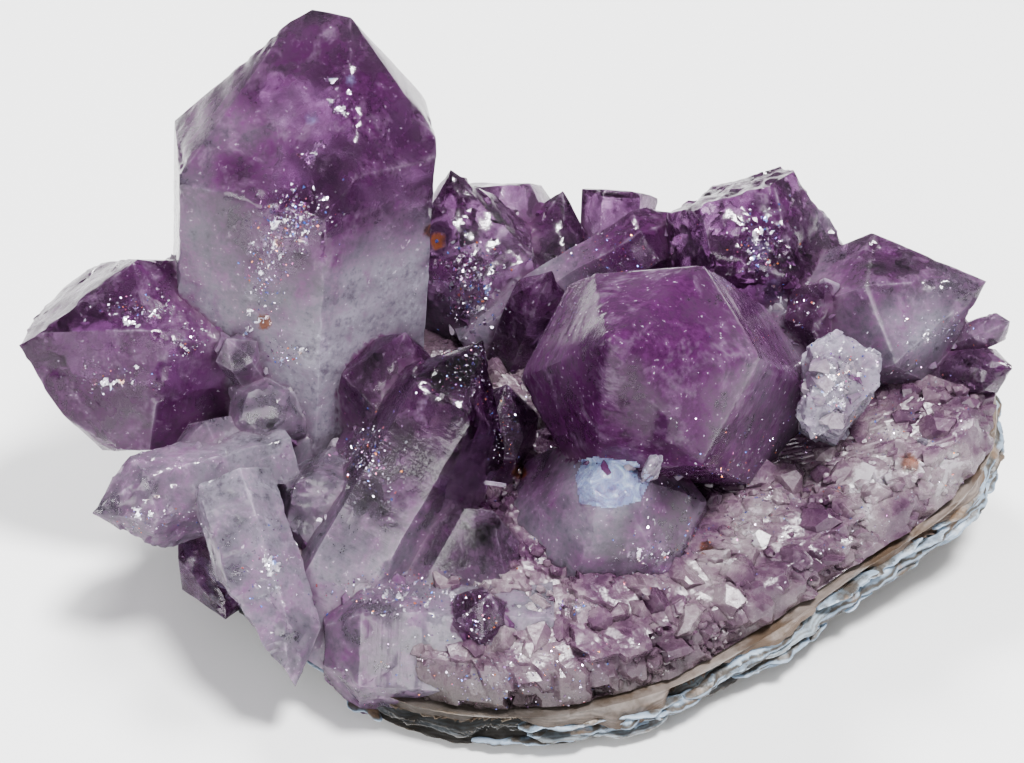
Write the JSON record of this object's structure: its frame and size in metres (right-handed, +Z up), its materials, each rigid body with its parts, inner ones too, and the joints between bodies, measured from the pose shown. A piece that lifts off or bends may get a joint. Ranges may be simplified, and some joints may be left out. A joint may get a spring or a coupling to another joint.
{
  "type": "amethyst crystal cluster",
  "caption": "Hand-sized cluster of purple amethyst points grown together on a shallow dish of banded agate rind. It rests on its flat underside.",
  "frame": {"origin": "on the flat underside of the rind, below the middle of the specimen", "axes": "+Z up from the surface it rests on, +X along the specimen with its tallest point near -X, -Y towards the side that the crystal tips face"},
  "size_m": [0.1082, 0.0763, 0.0603],
  "materials": {
    "amethyst": "clear to milky purple quartz with shiny faces",
    "rind": "banded agate and chalcedony with a dull waxy break"
  },
  "bodies": {
    "root": {"amethyst_crystals": "amethyst", "agate_rind": "rind"}
  },
  "joints": []
}
